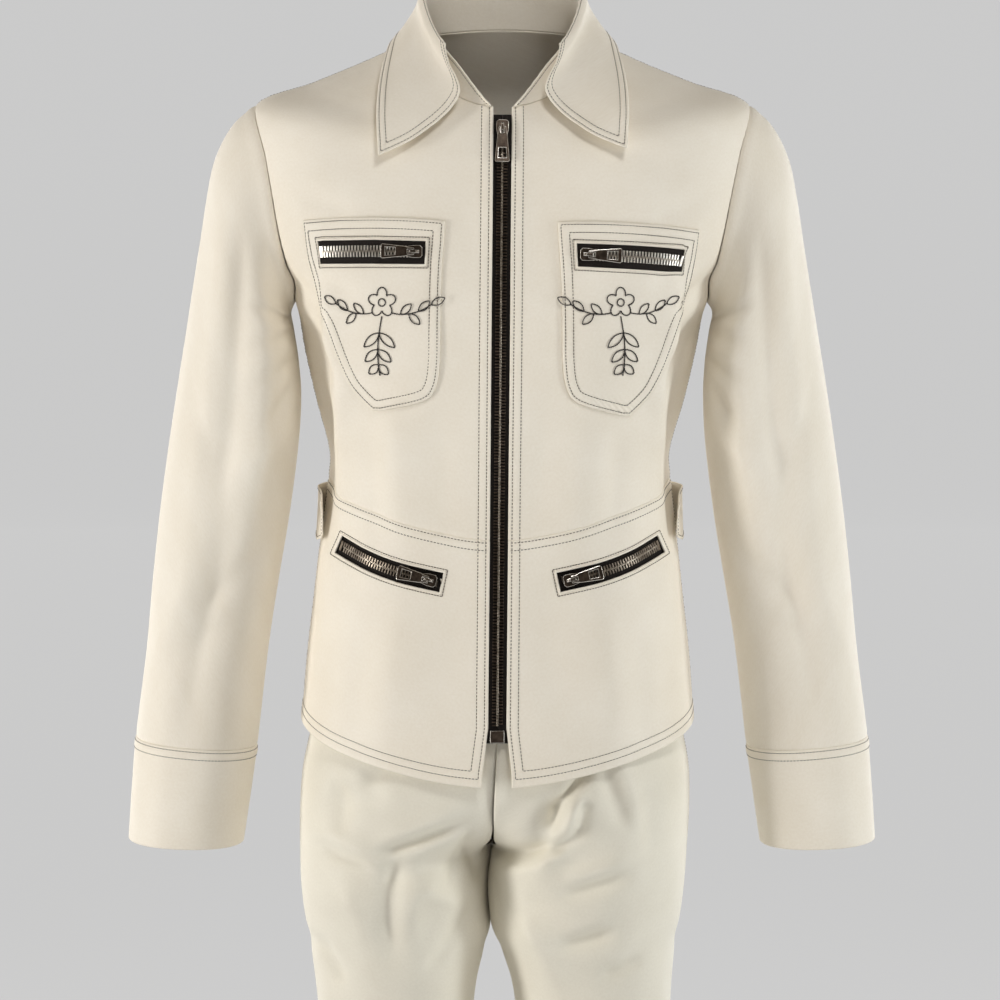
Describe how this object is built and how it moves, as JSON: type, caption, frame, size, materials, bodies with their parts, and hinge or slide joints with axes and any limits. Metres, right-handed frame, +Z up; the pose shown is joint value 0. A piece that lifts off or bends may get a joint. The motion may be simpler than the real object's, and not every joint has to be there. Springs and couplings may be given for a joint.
{
  "type": "western suit",
  "caption": "Western suit as worn: zip-front jacket with pointed collar, chest and hip pockets, waist tabs and long cuffed sleeves, over straight trousers.",
  "frame": {"origin": "middle of the body, level with the neck ends of the shoulder seams, where the wearer's shoulders carry the suit", "axes": "+Z up, the front of the suit faces -Y, +X is the wearer's left"},
  "size_m": [0.668, 0.2459, 1.5702],
  "materials": {
    "jacket_cloth": "smooth cream cotton",
    "trouser_cloth": "smooth cream cotton",
    "zip_tape": "woven black tape",
    "zip_metal": "dark antique metal",
    "button": "horn"
  },
  "bodies": {
    "suit": {"back_lower": "jacket_cloth", "back_upper": "jacket_cloth", "chest_pocket_left": "jacket_cloth", "chest_pocket_right": "jacket_cloth", "chest_zip_chain_left": "zip_metal", "chest_zip_chain_right": "zip_metal", "chest_zip_left_slider": "zip_metal", "chest_zip_right_slider": "zip_metal", "chest_zip_tape_left": "zip_tape", "chest_zip_tape_right": "zip_tape", "collar_leaf": "jacket_cloth", "collar_stand": "jacket_cloth", "cuff_left": "jacket_cloth", "cuff_right": "jacket_cloth", "front_lower_left": "jacket_cloth", "front_lower_right": "jacket_cloth", "front_upper_left": "jacket_cloth", "front_upper_right": "jacket_cloth", "front_zip_box": "zip_metal", "front_zip_chain": "zip_metal", "front_zip_slider": "zip_metal", "front_zip_tape_left": "zip_tape", "front_zip_tape_right": "zip_tape", "hip_zip_chain_left": "zip_metal", "hip_zip_chain_right": "zip_metal", "hip_zip_left_slider": "zip_metal", "hip_zip_right_slider": "zip_metal", "hip_zip_tape_left": "zip_tape", "hip_zip_tape_right": "zip_tape", "sleeve_left": "jacket_cloth", "sleeve_right": "jacket_cloth", "trouser_back_left": "trouser_cloth", "trouser_back_right": "trouser_cloth", "trouser_front_left": "trouser_cloth", "trouser_front_right": "trouser_cloth", "trouser_waistband": "trouser_cloth", "waist_tab_button_left": "button", "waist_tab_button_right": "button", "waist_tab_left": "jacket_cloth", "waist_tab_right": "jacket_cloth"},
    "front_zip_pull": {"front_zip_pull": "zip_metal"},
    "chest_zip_right_pull": {"chest_zip_right_pull": "zip_metal"},
    "hip_zip_right_pull": {"hip_zip_right_pull": "zip_metal"},
    "chest_zip_left_pull": {"chest_zip_left_pull": "zip_metal"},
    "hip_zip_left_pull": {"hip_zip_left_pull": "zip_metal"}
  },
  "joints": [
    {"name": "front_zip_pull_hinge", "type": "hinge", "parent": "suit", "child": "front_zip_pull", "pos_m": [0.00216, -0.09466, -0.06268], "axis": [-1, 0.0029, 0.0077], "range_deg": [0, 150]},
    {"name": "chest_zip_right_pull_hinge", "type": "hinge", "parent": "suit", "child": "chest_zip_right_pull", "pos_m": [-0.07359, -0.11984, -0.16749], "axis": [0.0223, 0.0934, 0.9954], "range_deg": [0, 150]},
    {"name": "hip_zip_right_pull_hinge", "type": "hinge", "parent": "suit", "child": "hip_zip_right_pull", "pos_m": [-0.06222, -0.10518, -0.45008], "axis": [0.239, 0.1093, 0.9649], "range_deg": [0, 150]},
    {"name": "chest_zip_left_pull_hinge", "type": "hinge", "parent": "suit", "child": "chest_zip_left_pull", "pos_m": [0.07582, -0.1201, -0.17005], "axis": [-0.0379, -0.0918, -0.9951], "range_deg": [0, 150]},
    {"name": "hip_zip_left_pull_hinge", "type": "hinge", "parent": "suit", "child": "hip_zip_left_pull", "pos_m": [0.06227, -0.1046, -0.45014], "axis": [0.2351, -0.0911, -0.9677], "range_deg": [0, 150]}
  ]
}
